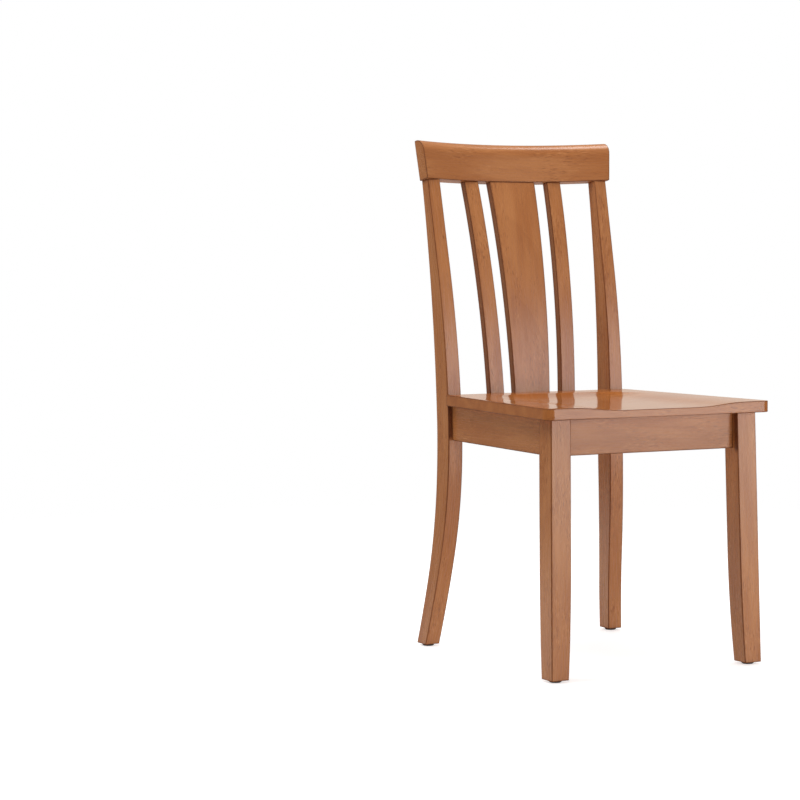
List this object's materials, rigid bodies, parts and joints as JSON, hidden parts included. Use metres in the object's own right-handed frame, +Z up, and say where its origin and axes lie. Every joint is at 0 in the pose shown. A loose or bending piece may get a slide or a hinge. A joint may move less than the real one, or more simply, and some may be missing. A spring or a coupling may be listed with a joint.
{
  "type": "dining chair",
  "caption": "Armless wooden dining chair with a dished board seat, curved rear posts, a wide centre splat between narrow slats, and a crest rail bent across the back.",
  "frame": {"origin": "centre of the bounding box in plan, on the floor plane under the glides", "axes": "+Z up, +Y toward the back of the chair, so the front of the seat faces -Y; +X is the viewer's right when looking at the front"},
  "size_m": [0.4518, 0.5328, 0.9117],
  "materials": {
    "stained_wood": "medium orange-brown stain under satin lacquer, darker along the edges",
    "bare_wood": "planed, unstained",
    "zinc_steel": "bright zinc plate",
    "glide_plastic": "moulded, matt"
  },
  "bodies": {
    "root": {"seat": "stained_wood", "front_leg_left": "stained_wood", "front_leg_right": "stained_wood", "rear_post_left": "stained_wood", "rear_post_right": "stained_wood", "front_apron": "stained_wood", "rear_rail": "stained_wood", "side_apron_left": "stained_wood", "side_apron_right": "stained_wood", "crest_rail": "stained_wood", "center_splat": "stained_wood", "slat_left": "stained_wood", "slat_right": "stained_wood", "corner_block_front_left": "bare_wood", "corner_block_front_right": "bare_wood", "corner_block_rear_left": "bare_wood", "corner_block_rear_right": "bare_wood", "front_apron_dowels": "bare_wood", "rear_rail_dowels": "bare_wood", "side_apron_front_dowels": "bare_wood", "side_apron_rear_dowels": "bare_wood", "crest_dowels": "bare_wood", "hanger_bolts": "zinc_steel", "hanger_washers": "zinc_steel", "hanger_nuts": "zinc_steel", "corner_block_screws": "zinc_steel", "seat_screws": "zinc_steel", "foot_glides": "glide_plastic", "glide_nails": "zinc_steel"}
  },
  "joints": []
}
